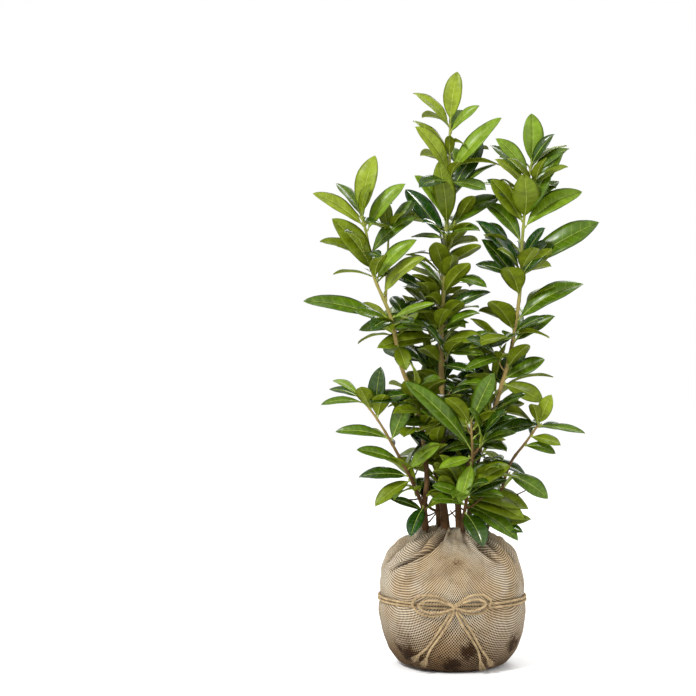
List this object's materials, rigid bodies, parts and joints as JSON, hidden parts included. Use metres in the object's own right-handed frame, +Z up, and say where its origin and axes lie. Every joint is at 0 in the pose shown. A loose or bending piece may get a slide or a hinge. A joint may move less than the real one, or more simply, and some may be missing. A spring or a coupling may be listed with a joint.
{
  "type": "laurel sapling with root ball",
  "caption": "Young evergreen cherry laurel with upright leafy stems, its roots wrapped in a round burlap ball tied with a twine bow.",
  "frame": {"origin": "middle of the flat underside of the root ball, on the floor", "axes": "+Z up along the plant's height, -Y toward the twine bow at the front, +X to the right as seen from the front"},
  "size_m": [0.5553, 0.3209, 1.125],
  "materials": {
    "bark": "matte",
    "young_bark": "satin",
    "leaves": "satin",
    "young_leaves": "satin",
    "burlap": "matte",
    "twine": "matte"
  },
  "bodies": {
    "root": {"back_right_shoot": "bark", "back_shoot": "bark", "bow_knot": "twine", "bow_loop_left_inner": "twine", "bow_loop_left_outer": "twine", "bow_loop_right_inner": "twine", "bow_loop_right_outer": "twine", "bow_tail_left_long": "twine", "bow_tail_left_short": "twine", "bow_tail_right_long": "twine", "bow_tail_right_short": "twine", "centre_fork": "young_bark", "centre_stem": "bark", "front_shoot": "bark", "leaves_back_low": "leaves", "leaves_back_middle": "leaves", "leaves_back_right_low": "leaves", "leaves_back_right_tip": "young_leaves", "leaves_back_tip": "young_leaves", "leaves_centre_base": "leaves", "leaves_centre_low": "leaves", "leaves_centre_middle": "leaves", "leaves_centre_neck": "leaves", "leaves_centre_tip": "young_leaves", "leaves_centre_upper": "leaves", "leaves_front_low": "leaves", "leaves_front_spray": "leaves", "leaves_left_fork_tip": "young_leaves", "leaves_left_hanging": "leaves", "leaves_left_low": "leaves", "leaves_left_middle": "leaves", "leaves_left_shoot_low": "leaves", "leaves_left_shoot_tip": "young_leaves", "leaves_left_tip": "young_leaves", "leaves_left_upper": "leaves", "leaves_right_base": "leaves", "leaves_right_foot": "leaves", "leaves_right_lower": "leaves", "leaves_right_middle": "leaves", "leaves_right_shoot_low": "leaves", "leaves_right_shoot_tip": "young_leaves", "leaves_right_tip": "young_leaves", "leaves_right_upper": "leaves", "left_fork": "young_bark", "left_shoot": "young_bark", "left_stem": "bark", "right_shoot": "bark", "right_stem": "bark", "root_ball": "burlap", "twine_band_lower": "twine", "twine_band_upper": "twine"}
  },
  "joints": []
}
